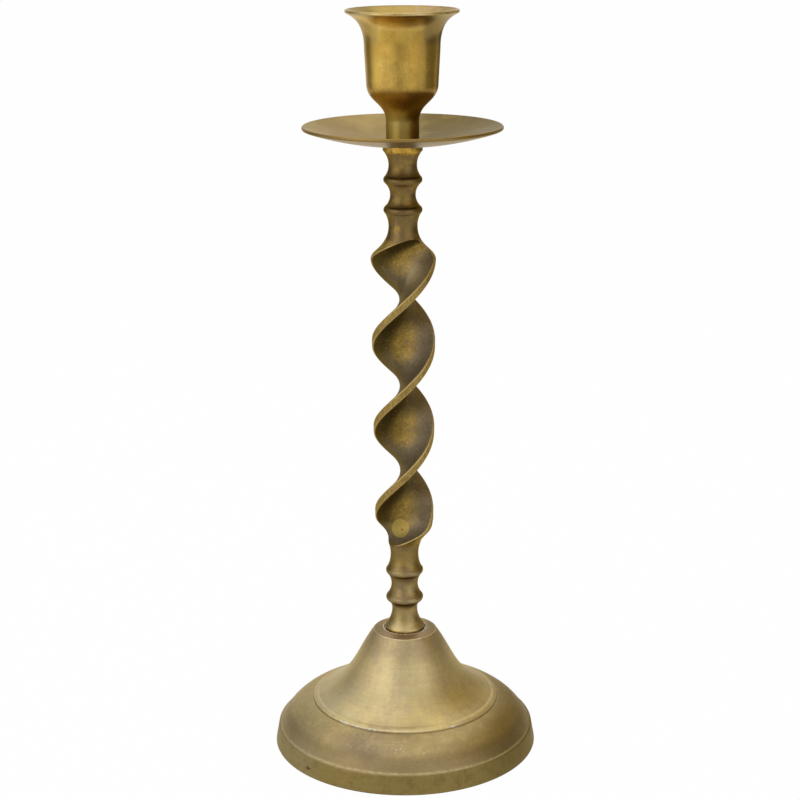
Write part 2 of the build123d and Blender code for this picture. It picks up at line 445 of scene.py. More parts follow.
class Finish(Net):
    """A material's node tree with the coordinates, in millimetres, and the marks that aged metal needs."""

    def __init__(self, name, edge_tint):
        self.edge_tint = edge_tint
        self.material = bpy.data.materials.new(name)
        super().__init__(blank(self.material))
        self.place = self.node("ShaderNodeTexCoord", output="Object")
        self.x, self.y, self.z = [value / mm for value in self.split(self.place)]
        self.radius = self.root(self.x * self.x + self.y * self.y)
        normal = self.node("ShaderNodeTexCoord", output="Normal")
        self.facing_x, self.facing_y, self.facing_up = self.split(normal)
        safe_radius = self.highest(self.radius, merge_distance / mm)
        self.round_x = self.x / safe_radius
        self.round_y = self.y / safe_radius

    def mark(self, name):
        """A value that was stored on the piece's points."""
        return self.node("ShaderNodeAttribute", settings={"attribute_name": name}, output="Fac")

    def stretched(self, x_scale, y_scale, z_scale):
        """The place, stretched along its axes."""
        return self.vector(self.x * x_scale, self.y * y_scale, self.z * z_scale)

    def noise(self, scale, detail=3.0, roughness=0.55, vector=None):
        """Cloudy values around one half."""
        sockets = {"Vector": vector or self.place, "Scale": scale, "Detail": detail, "Roughness": roughness}
        return self.node("ShaderNodeTexNoise", sockets)

    def cells(self, scale):
        """The distance to the nearest of many scattered points."""
        return self.node("ShaderNodeTexVoronoi", {"Vector": self.place, "Scale": scale})

    def round_marks(self, scale):
        """Fine lathe lines: noise that changes with radius and height, and hardly round the axis."""
        drift = 0.04
        return self.noise(1.0, 2.0, 0.6, self.vector(self.radius * scale, self.z * scale, self.x * drift))

    def down_marks(self, around, along):
        """Streaks that run down a turned piece: noise that changes round the axis, slowly along it."""
        vector = self.vector(self.round_x * around, self.round_y * around, (self.z + self.radius) * along)
        return self.noise(1.0, 4.0, 0.6, vector)

    def speckle(self):
        """Fine grain at two sizes, around one half."""
        contrast = 2.2
        both = self.noise(850.0, 3.0, 0.7) * 0.6 + self.noise(2300.0, 2.0, 0.7) * 0.4
        return (both - 0.5) * contrast + 0.5

    def toned(self, colour, level):
        """A colour made lighter or darker by a level near 1."""
        return self.mix(colour, level, 1.0, "MULTIPLY")

    def mix(self, first, second, factor, blend="MIX"):
        settings = {"data_type": "RGBA", "blend_type": blend}
        return self.node("ShaderNodeMix", {0: factor, 6: first, 7: second}, settings, 2)

    def coats(self, colour, **layers):
        """Lay named coats over a colour, one after another: each has its tone and its amount by place."""
        if not isinstance(colour, Value):
            colour = tone(*colour)
        for name, (shade, amount) in layers.items():
            colour = self.mix(colour, tone(*shade), amount)
            colour.socket.node.label = name
        return colour

    def hoop(self, radius, reach, low, high):
        """A thin ring about the axis, faded in between two heights."""
        return self.radius.near(radius, reach) * self.z.fade(low, high)

    def spot(self, centre, reach, softness):
        """A round spot about one point: 1 inside its reach, 0 outside."""
        x, y, z = centre
        gap = self.root((self.x - x) ** 2 + (self.y - y) ** 2 + (self.z - z) ** 2)
        return gap.fade(reach + softness, reach - softness)

    def bump(self, height, depth):
        """A relief of some depth in millimetres."""
        return self.node("ShaderNodeBump", {"Height": height, "Distance": depth * mm})

    def metal(self, colour, roughness, normal, metallic=1.0):
        """End the tree in one metal shader."""
        sockets = {
            "Base Color": colour,
            "Roughness": roughness,
            "Metallic": metallic,
            "Normal": normal,
            "Specular Tint": tone(*self.edge_tint),
        }
        shader = self.node("ShaderNodeBsdfPrincipled", sockets)
        self.node("ShaderNodeOutputMaterial", {"Surface": shader})
        return self.material


brass_edge = (226, 208, 170)
pale_edge = (246, 236, 214)
brown_tarnish = (88, 68, 38)
plum_tarnish = (110, 94, 72)
# One dark tone for painted shade in grooves and creases, and for real pits.
crease_dark = (44, 33, 18)
dried_polish = (224, 220, 202)
print("brass tones ready")

# %% [markdown]
# The base
#
# The base is a hollow casting that was turned outside: a skirt, a narrow ledge, a rounded shoulder, a thin
# raised band and a bell that rises to the seat of the stem. It is spun from one outline, wall and all, so
# the hollow underneath is real. Its edges get small roundings that catch the light.

# %% Base outline
base_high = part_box("base")[1]
base_radius = base_high.x / mm
base_top = base_high.z / mm
rim_thickness = 2.4
skirt_height = 7.1
skirt_lean = 1.3
ledge_width = 1.1
ledge_rise = 0.5
band_radius = 35.6
band_height = 18.2
band_step = 0.6
band_width = 2.2
band_rise = 1.0
band_bulge = 0.18
cushion_bulge = 1.7
seat_ring_radius = 12.0
seat_ring_height = 45.3
recess_radius = 8.0
recess_depth = 0.6
bell_top_lean_deg = 36.0
bell_top_pull = 12.2
bell_foot_lean_deg = 64.0
bell_foot_pull = 14.8
plate_thickness = 2.8
wall = 1.8
through_radius = 3.25
bell_steps = 40
cushion_steps = 30
seat_height = base_top - recess_depth
ledge_radius = base_radius - skirt_lean - ledge_width
band_inner_radius = band_radius - band_width
plate_underside = seat_height - plate_thickness


def leaning(lean_deg, length):
    """A step outwards and down that leans from the vertical."""
    lean = math.radians(lean_deg)
    return at(math.sin(lean), -math.cos(lean)) * length


def bell_side(shift):
    """The bell, from the seat ring down to the band at its foot."""
    top = at(seat_ring_radius, seat_ring_height) + shift
    foot = at(band_inner_radius, band_height + band_rise) + shift
    top_pull = top + leaning(bell_top_lean_deg, bell_top_pull)
    foot_pull = foot - leaning(bell_foot_lean_deg, bell_foot_pull)
    return bezier(top, top_pull, foot_pull, foot, bell_steps)


def base_outline():
    """Outside from the seat down to the rim, then back up inside."""
    inside = at(-wall, plate_underside - seat_ring_height)
    ledge = at(ledge_radius, skirt_height + ledge_rise)
    skirt_top = at(base_radius - skirt_lean, skirt_height)
    band_edge = at(band_radius, band_height)
    shoulder = at(band_radius, band_height - band_step)
    bell = bell_side(at(0, 0))
    hollow = bell_side(inside)
    seat_edge = (recess_radius, base_top)
    return chain(
        line((through_radius, seat_height), (recess_radius, seat_height), 2),
        line((recess_radius, seat_height), seat_edge),
        small_rounding,
        line(seat_edge, bell[0], 3),
        seat_rounding,
        bell,
        edge_rounding,
        bowed(bell[-1], band_edge, band_bulge, 6),
        fine_rounding,
        line(band_edge, shoulder),
        crease_rounding,
        bowed(shoulder, ledge, cushion_bulge, cushion_steps),
        small_rounding,
        line(ledge, skirt_top, 2),
        edge_rounding,
        line(skirt_top, (base_radius, 0), 4),
        edge_rounding,
        line((base_radius, 0), (base_radius - rim_thickness, 0), 2),
        edge_rounding,
        line((base_radius - rim_thickness, 0), ledge + inside, 3),
        bowed(hollow[-1], ledge + inside, cushion_bulge, 16)[::-1],
        hollow[::-1],
        line(hollow[0], (through_radius, plate_underside), 3),
        line((through_radius, plate_underside), (through_radius, seat_height), 2),
    )


print("base", round(2 * base_radius, 1), "mm across, seat at", round(seat_height, 2), "mm")

# %% [markdown]
# The base's finish
#
# The bell is satin with soft stains, the shoulder duller, the skirt olive with a few pits, the seat brown,
# and a pale ring of dried polish lies where the stem's foot meets it. Light and shade are painted in too: a
# darker bell top, a paler left, a darker right and darker seat sides, a shadow in the groove, and
# highlights on the edges, which are also worn. Underneath, the casting was never turned, so it is dark and
# grainy.


# %% Base finish
def base_finish():
    """Satin bell, duller shoulder, olive skirt and brown seat, with painted shade and reflection by place.
    """
    look = Finish("base_brass", pale_edge)
    x, z, radius = look.x, look.z, look.radius
    clouds = look.noise(42.0, 3.0, 0.6)
    stains = look.noise(150.0, 5.0, 0.7)
    blotches = look.noise(240.0, 5.0, 0.75)
    rubs = look.down_marks(9.0, 0.03)
    skirt = z.fade(skirt_height + 0.15, skirt_height - 0.1)
    shoulder = radius.fade(band_radius - 0.1, band_radius + 0.6)
    seat = z.fade(seat_ring_height - 0.4, seat_ring_height)
    bruise = look.spot((-15, -40, 12.5), 9, 8)
    # Painted reflection: the left of the bell and shoulder is paler, like the white surroundings showing in
    # it.
    pale_left = look.highest(x.fade(-12, -24) * z.fade(17, 20), x.fade(-28, -42) * 0.5)
    colour = look.coats(
        (183, 166, 124),
        gold_clouds=((187, 166, 107), clouds.fade(0.4, 0.66) * 0.7),
        brown_stains=((162, 142, 116), stains.fade(0.44, 0.7) * 0.5),
        rubs=((146, 126, 94), rubs.fade(0.48, 0.72) * 0.2),
        # Painted shade: the top of the bell is darkened against the overhead light.
        bell_top=((146, 129, 102), z.fade(34, 42) * 0.65),
        shoulder=((150, 132, 92), shoulder * (0.65 + 0.3 * stains)),
        light_blotches=((200, 180, 122), blotches.fade(0.56, 0.36) * 0.22),
        bruise=((120, 104, 84), bruise * (0.5 + 0.4 * stains.fade(0.35, 0.65))),
        low_shoulder=((126, 109, 76), radius.fade(ledge_radius - 4.7, ledge_radius - 2.3) * 0.65),
        skirt=((128, 111, 64), skirt * 0.92),
        skirt_blotches=((104, 86, 48), skirt * blotches.fade(0.46, 0.66) * 0.5),
        # Painted shade: the right of the shoulder is darker.
        dull_right=((96, 80, 42), x.fade(24, 40) * shoulder * 0.4),
        seat=((164, 143, 110), seat * (0.6 + 0.4 * stains)),
        # Painted shade: the seat ring's left and right sides are darker.
        seat_sides=((108, 91, 64), seat * abs(x).fade(4, 10) * (0.4 + 0.5 * blotches)),
        pale_left=((206, 196, 170), pale_left * 0.2),
    )
    return base_marks(look, colour, skirt, stains)


def base_marks(look, colour, skirt, stains):
    """Edges that are worn and painted with highlights, painted shadow in the creases, pits and dried
    polish, laid over the base's tones.
    """
    x, up = look.x, look.facing_up
    grain = look.speckle()
    lathe_lines = look.round_marks(1.9)
    inside = up.fade(0.0, -0.15)
    flecks = look.noise(650.0, 4.0, 0.75)
    # Painted shadow: a dark line in the groove under the band, and a fainter one at the band's inner edge.
    groove = look.hoop(band_radius + 0.1, 0.2, band_height - 0.1, band_height - 0.5)
    inner_line = look.hoop(band_inner_radius - 0.15, 0.25, band_height + 0.2, band_height + 0.6)
    # Partly wear, partly painted highlight: bright lines along the band, the seat ring and the ledge.
    band_edges = look.hoop(band_radius - 0.3, 0.3, band_height - 0.6, band_height - 0.2)
    ledge_edge = look.hoop(ledge_radius + 0.2, 0.6, skirt_height - 0.4, skirt_height - 0.1)
    seat_edge = look.hoop(seat_ring_radius, 0.4, seat_ring_height - 0.4, seat_ring_height - 0.1)
    worn = look.highest(band_edges, seat_edge, ledge_edge * 0.45)

    polished = look.highest(x.fade(-26, -23) * x.fade(-9, -13), x.near(17.8, 2.6)) * look.y.fade(-18, -20)
    band_chalk = look.hoop(band_radius - 0.15, 0.42, band_height - 0.7, band_height - 0.2)
    band_chalk = band_chalk * polished * flecks.fade(0.42, 0.58)
    ring = look.hoop(recess_radius + 0.2, 0.42, seat_ring_height - 0.3, seat_ring_height + 0.1)
    ring = ring * flecks.fade(0.38, 0.55)
    filled = look.hoop(recess_radius - 0.2, 0.6, seat_ring_height - 0.1, seat_ring_height + 0.05)
    filled = filled * (0.4 + 0.6 * x.fade(1, -4))
    specks = look.cells(210.0).fade(0.075, 0.04) * look.noise(85.0).fade(0.6, 0.66)
    splash = look.spot((-3.2, -41.6, 14.6), 1.4, 1.2) * look.cells(700.0).fade(0.3, 0.15)
    chalk = look.highest(band_chalk, ring, filled, specks * up.fade(0.2, 0.4) * 0.8, splash * 0.8)

    pits = look.cells(240.0).fade(0.16, 0.06) * look.noise(110.0).fade(0.58, 0.68)
    nick = look.highest(look.spot((-36.8, -33.8, 2.9), 0.7, 0.4), look.spot((-36.0, -34.7, 3.1), 0.4, 0.4))
    scratches = look.down_marks(190.0, 0.02).fade(0.54, 0.6) * look.spot((20, -45, 5), 3.6, 1.5)
    pits = look.highest(pits * (0.2 + 0.7 * skirt), nick, scratches * skirt * 0.35)
    colour = look.coats(
        colour,
        # Painted shadow in the band's groove and at its inner edge.
        creases=(crease_dark, look.highest(groove * 0.65, inner_line * 0.16)),
        # Worn edges with a painted highlight.
        worn_edges=((214, 198, 156), worn * (0.3 + 0.5 * flecks.fade(0.4, 0.6))),
        chalk=(dried_polish, chalk),
        pits=(crease_dark, pits * 0.8),
        inside=(brown_tarnish, inside * 0.8),
    )
    colour = look.toned(colour, (0.88 + 0.24 * grain) * (0.9 + 0.2 * lathe_lines))
    roughness = 0.46 + 0.14 * (stains - 0.5) + 0.06 * skirt + 0.14 * inside + 0.3 * chalk
    height = lathe_lines * 0.35 + grain * 0.4 - pits * 3.0 + chalk + inside * flecks * 5.0
    return look.metal(colour, roughness, look.bump(height, 0.03), 1.0 - 0.85 * chalk)


base_columns = 224
base = turned("turned_base", outline_object("base_outline", base_outline()), base_columns, base_finish())
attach(base, "stand")
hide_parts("base")

# %% [markdown]
# The stem
#
# The stem is one casting. Its ends are turned: a foot, two rings and a trumpet below, the same again above
# under a plain collar. Its middle is a flat bar, wound a turn and a half, hollow across its faces, with two
# narrow lands left where the lathe had been. That is a rule, so the whole stem is one Geometry Nodes tree:
# at every height the section is a circle of the turned radius, from which two faces are cut that turn with
# the height and run out into the trumpets. The tree also marks each point as land or face, for the finish.

# %% Stem outline
collar_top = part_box("stem")[1].z / mm
foot_radius = 7.55
foot_edge = 2.0
foot_rounding = 0.35
ring_radius = 7.1
ring_edge_radius = 6.5
ring_height = 2.5
collar_radius = 7.25
collar_height = 2.0
foot_neck_radius = 4.8
lower_ring_neck_radius = 5.05
upper_ring_neck_radius = 4.65
trumpet_neck_radius = 5.3
collar_neck_radius = 5.15
foot_to_neck = 8.6
foot_to_ring = 13.1
ring_spacing = 11.0
lower_ring_to_neck = 6.5
lower_trumpet = 12.6
twist_length = 101.4
upper_trumpet = 12.8
upper_neck_to_ring = 5.8
neck_pull_share = 0.62
rim_pull_share = 0.33
twist_top_radius = 12.0
twist_bottom_radius = 11.0
stud_hole_radius = 3.05
foot_hole_depth = 12.5
collar_hole_depth = 10.5
ring_steps = 8
cove_steps = 14
neck_steps = 10
trumpet_steps = 56
twist_rows = 190
low_ring = seat_height + foot_to_ring
second_ring = low_ring + ring_spacing
low_trumpet_neck = second_ring + lower_ring_to_neck
twist_bottom = low_trumpet_neck + lower_trumpet
twist_top = twist_bottom + twist_length
high_trumpet_neck = twist_top + upper_trumpet
third_ring = high_trumpet_neck + upper_neck_to_ring
top_ring = third_ring + ring_spacing


def ring_side(height):
    """One ring, from its lower edge over its tip to its upper edge."""
    low = (ring_edge_radius, height - ring_height / 2)
    high = (ring_edge_radius, height + ring_height / 2)
    return arc(low, (ring_radius, height), high, ring_steps)


def edged(run):
    """A ring between two rounded edges, as parts of a chain."""
    return ring_rounding, run, ring_rounding


def cove(low, waist, high):
    """A hollow between two edges, upright where it is narrowest."""
    return waisted(waist, low, cove_steps)[::-1] + waisted(waist, high, cove_steps)[1:]


def trumpet(neck_height, rim_radius, rim_height):
    """The flare from a neck out to the twist's edge."""
    span = rim_height - neck_height
    neck = at(trumpet_neck_radius, neck_height)
    rim = at(rim_radius, rim_height)
    neck_pull = neck + at(0, span * neck_pull_share)
    rim_pull = rim - at(0, span * rim_pull_share)
    return bezier(neck, neck_pull, rim_pull, rim, trumpet_steps)


def stem_outline():
    """From the foot's stud hole up the outside to the collar's stud hole."""
    rings = [ring_side(height) for height in (low_ring, second_ring, third_ring, top_ring)]
    foot_low = at(foot_radius - foot_rounding, seat_height)
    foot_side = (foot_radius, seat_height + foot_edge / 2)
    foot_top = at(foot_radius - foot_rounding, seat_height + foot_edge)
    collar_low = at(collar_radius, collar_top - collar_height)
    collar_edge = at(collar_radius, collar_top)
    low_neck = (foot_neck_radius, seat_height + foot_to_neck)
    lower_middle = (lower_ring_neck_radius, (low_ring + second_ring) / 2)
    upper_middle = (upper_ring_neck_radius, (third_ring + top_ring) / 2)
    collar_neck = (collar_neck_radius, (top_ring + collar_low.y) / 2)
    lower_flare = trumpet(low_trumpet_neck, twist_bottom_radius, twist_bottom)
    upper_flare = trumpet(high_trumpet_neck, twist_top_radius, twist_top)[::-1]
    foot_hole = seat_height + foot_hole_depth
    collar_hole = collar_top - collar_hole_depth
    return chain(
        through((0, foot_hole), (stud_hole_radius, foot_hole), (stud_hole_radius, seat_height), foot_low),
        small_rounding,
        arc(foot_low, foot_side, foot_top, ring_steps),
        small_rounding,
        cove(foot_top, low_neck, rings[0][0]),
        *edged(rings[0]),
        cove(rings[0][-1], lower_middle, rings[1][0]),
        *edged(rings[1]),
        waisted(lower_flare[0], rings[1][-1], neck_steps)[::-1],
        lower_flare,
        line(lower_flare[-1], upper_flare[0], twist_rows),
        upper_flare,
        waisted(upper_flare[-1], rings[2][0], neck_steps),
        *edged(rings[2]),
        cove(rings[2][-1], upper_middle, rings[3][0]),
        *edged(rings[3]),
        cove(rings[3][-1], collar_neck, collar_low),
        small_rounding,
        line(collar_low, collar_edge),
        edge_rounding,
        through(
            collar_edge,
            (stud_hole_radius, collar_top),
            (stud_hole_radius, collar_hole),
            (0, collar_hole),
        ),
    )


print("twist from", round(twist_bottom, 1), "to", round(twist_top, 1), "mm")

# %% The twisted stem tree
land_columns = 40
corner_columns = 4
face_columns = 24
half_columns = land_columns + 2 * corner_columns + face_columns


def twist_tree():
    """A turned outline with two turning faces cut out of its middle."""
    sizes = ["Bottom", "Top", "Runout Radius", "Core Half", "Hollow", "Rounding", "Start", "Turns"]
    inputs = [("Outline", "Geometry"), ("Material", "Material")] + [(name, "Float") for name in sizes]
    net = new_tree("Twisted stem", inputs)
    bottom, top, runout, core, hollow, rounding, start, turns = [group_input(net, name) for name in sizes]
    grid, row, column = grid_of(net, outline_rows(net), 2 * half_columns)
    radius, height = outline_point(net, row)

    past = net.highest(bottom - height, height - top, 0.0)
    lift = runout - net.root(runout * runout - past * past)
    half = net.lowest(core + lift + (past > runout), radius)
    corner_y = net.lowest(half + hollow * (radius * radius - half * half), radius)
    corner_x = net.root(radius * radius - corner_y * corner_y)
    cut = net.lowest(rounding, corner_x * 0.4)
    corner_angle = net.math("ARCTAN2", corner_y, corner_x)
    land_angle = corner_angle - cut / radius

    side = net.math("FLOOR", (column + 0.5) / half_columns)
    step = column - side * half_columns

    def share(begin, count):
        """How far a column is through one stretch of the section, from 0 to 1."""
        return net.lowest(net.highest((step - begin) / count, 0.0), 1.0)

    land_share = share(0, land_columns)
    first_share = share(land_columns, corner_columns)
    face_share = share(land_columns + corner_columns, face_columns)
    last_share = share(half_columns - corner_columns, corner_columns)

    land_x, land_y = net.polar(radius, land_angle * (2 * land_share - 1))
    end_x, end_y = net.polar(radius, land_angle)
    edge_x = corner_x - cut

    def hollow_at(x):
        """How far out the hollow face lies at a place across it."""
        return half + (corner_y - half) * (x / net.highest(corner_x, merge_distance)) ** 2

    face_x = edge_x * (1 - 2 * face_share)
    face_y = hollow_at(face_x)
    edge_y = hollow_at(edge_x)

    def corner(t, first, middle, last):
        """A rounded corner: a quadratic curve between three values."""
        return first * (1 - t) * (1 - t) + middle * 2 * t * (1 - t) + last * t * t

    in_first = (step > land_columns) * (step < land_columns + corner_columns)
    in_face = (step > land_columns + corner_columns - 0.5) * (step < half_columns - corner_columns + 0.5)
    in_last = step > half_columns - corner_columns + 0.5
    in_land = step < land_columns + 0.5
    first_x = corner(first_share, end_x, corner_x, edge_x)
    first_y = corner(first_share, end_y, corner_y, edge_y)
    last_x = corner(last_share, -edge_x, -corner_x, -end_x)
    last_y = corner(last_share, edge_y, corner_y, end_y)
    x = land_x * in_land + first_x * in_first + face_x * in_face + last_x * in_last
    y = land_y * in_land + first_y * in_first + face_y * in_face + last_y * in_last

    turn = start + turns * math.tau * (height - bottom) / (top - bottom) + side * math.pi
    cosine, sine = net.polar(1.0, turn)
    place = net.vector(x * cosine - y * sine, x * sine + y * cosine, height)

    cut_depth = (corner_x / radius).fade(0.3, 0.92)
    parts = [("land", in_land), ("bevel", net.highest(in_first, in_last)), ("face", in_face)]
    return close_tree(net, grid, place, [(name, part * cut_depth) for name, part in parts])


twisted = twist_tree()
print("twisted stem:", 2 * half_columns, "columns")

# %% [markdown]
# The stem's finish
#
# Hands and polish reach the lands of the twist, so they are bright gold, with paler borders that are partly
# rubbed and partly painted highlight. The faces between them are stained brown with a golden, mottled
# middle; by the way each face turns they also take painted sheen, partly plum-grey tarnish, and painted
# shadow. The creases beside the rings are dark with painted shade and patina, and the flanks with painted
# shade.


# %% Stem finish
def stem_finish():
    """Turned ends, browner above and paler below, with painted shade and patina in the creases and painted
    shade on the flanks.
    """
    look = Finish("stem_brass", brass_edge)
    z, radius = look.z, look.radius
    clouds = look.noise(90.0, 4.0, 0.6)
    stains = look.noise(260.0, 5.0, 0.7)
    patches = look.noise(430.0, 4.0, 0.65)
    collar = z.fade(collar_top - 3.2, collar_top - 2.2)
    # Partly dark patina, partly painted shade: the creases beside the rings.
    low_creases = [z.near(ring - ring_height / 2 - 0.35, 0.65) for ring in (low_ring, second_ring)]
    high_creases = [z.near(ring + ring_height / 2, 0.55) for ring in (third_ring, top_ring)]
    creases = look.highest(*low_creases, *high_creases)
    tips = radius.fade(6.5, 6.9) * radius.fade(7.9, 7.5)
    colour = look.coats(
        (118, 96, 52),
        low_end=((162, 142, 98), z.fade(96, 46)),
        brown_clouds=((104, 88, 64), clouds.fade(0.42, 0.62) * 0.6),
        gold_stains=((160, 129, 60), stains.fade(0.5, 0.66) * 0.6),
        plum_patches=(plum_tarnish, patches.fade(0.5, 0.64) * (z.near(196, 10) * 0.5 + 0.35)),
        foot=((186, 166, 118), z.fade(51, 47) * 0.8),
        foot_line=((176, 136, 54), z.near(46.2, 0.9) * patches.fade(0.4, 0.52)),
        low_trumpet=((126, 104, 52), z.near(75, 6) * 0.5),
        low_cove=((182, 160, 92), z.near(53, 4.5) * 0.25),
        collar=((188, 150, 62), collar * stains.fade(0.36, 0.54)),
        # Painted shade and patina in the creases.
        creases=(crease_dark, creases * 0.75),
        dull_tips=((106, 86, 52), tips * z.fade(200, 204) * (1 - collar) * (1 - creases) * 0.8),
        pale_tips=((150, 134, 104), tips * z.fade(86, 80) * z.fade(50, 54) * 0.3),
        # Painted shade: the turned stem's left and right flanks are darker.
        flanks=((84, 69, 38), abs(look.round_x).fade(0.5, 0.95) * 0.5),
    )
    return twist_marks(look, colour, clouds, stains)


def twist_marks(look, colour, clouds, stains):
    """Stained faces, golden in the middle, with painted sheen and shadow by how they turn; rubbed lands
    with paler borders.
    """
    x, z, up = look.x, look.z, look.facing_up
    land, bevel, face = [look.mark(name) for name in ("land", "bevel", "face")]
    grain = look.speckle()
    mottle = look.noise(600.0, 5.0, 0.75)
    tail = look.facing_x * look.facing_y
    golden = abs(look.facing_x * 0.04 - look.facing_y).fade(0.62, 0.96)
    golden = golden * (0.3 + 0.35 * stains.fade(0.36, 0.62) + 0.3 * mottle.fade(0.4, 0.62))
    golden = golden * up.fade(0.62, 0.2) * up.fade(-0.62, -0.2)
    light_flecks = look.noise(1300.0, 2.0, 0.6).fade(0.57, 0.69)
    front = look.facing_y.fade(-0.2, -0.4)
    slant = z * 0.942 + look.y * 0.335
    patch_gap = look.root((x + 1.5) ** 2 + (slant * 0.94 - 76.16) ** 2)
    dot_gap = look.root((x + 0.8) ** 2 + (slant - 80.5) ** 2)
    blade = look.coats(
        (82, 69, 36),
        # Partly plum tarnish, partly painted sheen: faces that turn up are paler and greyer.
        right_side=((118, 104, 82), up.fade(-0.2, 0.35)),
        # Partly plum tarnish, partly painted sheen: faces that turn towards one diagonal are plum-grey.
        low_end=((102, 90, 70), tail.fade(0.12, 0.42) * 0.8),
        # Painted shadow: faces that turn the other diagonal way are darker, under the run-out.
        high_end=((78, 65, 34), tail.fade(-0.2, -0.45) * 0.5),
        golden_middle=((152, 124, 56), golden),
        brown_clouds=((84, 70, 44), clouds.fade(0.46, 0.66) * 0.4),
        dark_stains=((74, 60, 34), stains.fade(0.52, 0.66) * (1 - golden) * 0.3),
        # Partly plum tarnish, partly painted sheen, high on the twist where faces turn up.
        upper_right=((144, 128, 94), z.near(184, 10) * up.fade(0.18, 0.42) * 0.9),
        light_flecks=((184, 160, 96), light_flecks * (0.2 + 0.35 * golden)),
        round_stain=((156, 134, 68), patch_gap.fade(3.45, 3.15) * front * 0.85),
        rusty_dot=((132, 62, 28), dot_gap.fade(0.5, 0.25) * front),
    )
    filed = look.noise(1.0, 3.0, 0.7, look.stretched(1.5, 1.5, 0.5))
    rubbed = look.coats((128, 105, 57), filed=((160, 135, 77), filed.fade(0.35, 0.68)))
    colour = look.mix(look.mix(colour, blade, face), rubbed, land)
    # Partly rubbed, partly painted highlight: the rounded borders of the lands are paler.
    colour = look.coats(colour, pale_borders=((180, 157, 102), bevel * 0.75))
    colour = look.toned(colour, 0.8 + 0.4 * grain)
    roughness = 0.42 + 0.14 * (stains - 0.5) + 0.08 * face - 0.04 * land
    height = look.round_marks(2.3) * 0.3 * (1 - face) + grain * (0.4 + 0.5 * face) + filed * land
    return look.metal(colour, roughness, look.bump(height, 0.03))


bar_core_thickness = 3.0
bar_edge_thickness = 4.0
land_rounding = 0.7
twist_turns = 1.536
twist_start_deg = -22.6
runout_radius = 10.0
stem = grown(
    "twisted_stem",
    outline_object("stem_outline", stem_outline()),
    twisted,
    {
        "Material": stem_finish(),
        "Bottom": twist_bottom * mm,
        "Top": twist_top * mm,
        "Runout Radius": runout_radius * mm,
        "Core Half": bar_core_thickness / 2 * mm,
        "Hollow": (bar_edge_thickness - bar_core_thickness) / 2 / twist_top_radius**2 / mm,
        "Rounding": land_rounding * mm,
        "Start": math.radians(twist_start_deg),
        "Turns": twist_turns,
    },
)
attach(stem, "stand")
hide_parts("stem")

# %% [markdown]
# The drip pan
#
# A thin dish, flat in the middle where the collar and the cup clamp it, curving up to a rounded rim. Both
# of its faces show, because it is seen from just above its edge.

# %% Drip pan
pan_low, pan_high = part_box("drip_pan")
pan_radius = pan_high.x / mm
pan_thickness = 1.3
pan_flat_radius = 7.6
pan_rise = (pan_high.z - pan_low.z) / mm - pan_thickness
pan_mid_rise_share = 0.335
pan_edge_rounding = 0.5
pan_columns = 192
pan_steps = 30


def pan_outline():
    """Under the dish from its hole to the rim, and back over the top."""
    thickness = at(0, pan_thickness)
    hole = at(through_radius, collar_top)
    flat = at(pan_flat_radius, collar_top)
    rim = at(pan_radius - pan_edge_rounding, collar_top + pan_rise)
    rim_side = (pan_radius, collar_top + pan_rise + pan_thickness / 2)
    middle = at((flat.x + rim.x) / 2, collar_top + pan_rise * pan_mid_rise_share)
    under = arc(flat, middle, rim, pan_steps)
    over = arc(rim + thickness, middle + thickness, flat + thickness, pan_steps)
    return chain(
        line(hole, flat, 2),
        under,
        fine_rounding,
        arc(rim, rim_side, rim + thickness, 8),
        fine_rounding,
        over,
        line(flat + thickness, hole + thickness, 2),
        line(hole + thickness, hole),
    )


def pan_finish():
    """A dull dish with painted shade to the right, and a warm rim."""
    look = Finish("pan_brass", pale_edge)
    clouds = look.noise(48.0, 3.0, 0.6)
    stains = look.noise(170.0, 5.0, 0.66)
    grain = look.speckle()
    colour = look.coats(
        (153, 133, 85),
        brown_clouds=((138, 118, 76), clouds.fade(0.4, 0.65)),
        # Painted shade: the right of the dish is darker.
        dull_right=((82, 68, 35), look.x.fade(-1, 11) * 0.85),
        gold_stains=((164, 138, 80), stains.fade(0.5, 0.72) * 0.35),
        underside=((144, 124, 96), look.facing_up.fade(0.0, -0.2) * 0.75),
        rim=((130, 106, 58), look.radius.fade(35.3, 35.7) * 0.85),
    )
    colour = look.toned(colour, 0.9 + 0.2 * grain)
    height = look.round_marks(5.2) + grain * 0.2
    return look.metal(colour, 0.36 + 0.12 * (clouds - 0.5), look.bump(height, 0.014))


pan = turned("dished_pan", outline_object("pan_outline", pan_outline()), pan_columns, pan_finish())
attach(pan, "stand")
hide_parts("drip_pan")

# %% [markdown]
# The candle cup
#
# A neck, a rounded bottom, a body that widens a little and a lip that flares out flat. The candle stands in
# a bored socket inside. It rides on its own body, because it screws off the stem.

# %% Candle cup
cup_low, cup_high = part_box("candle_cup")
cup_seat = cup_low.z / mm
cup_rim = cup_high.z / mm
lip_radius = cup_high.x / mm
neck_radius = 6.0
neck_height = 7.0
cup_bottom_rise = 13.8
cup_bottom_pull_share = 0.515
cup_low_radius = 12.95
cup_high_radius = 13.6
cup_body_height = 12.2
lip_width = 1.2
lip_thickness = 1.25
lip_rounding = 0.45
flare_body_pull = 9.0
flare_lip_pull = 3.0
flare_lip_lean_deg = 60.0
socket_radius = 11.3
socket_floor_drop = 1.6
socket_depth = 17.0
socket_flare_pull = 7.0
socket_lip_pull = 2.5
cup_stud_hole_depth = 11.0
cup_columns = 192
cup_bottom_steps = 40
cup_flare_steps = 32
socket_steps = 28


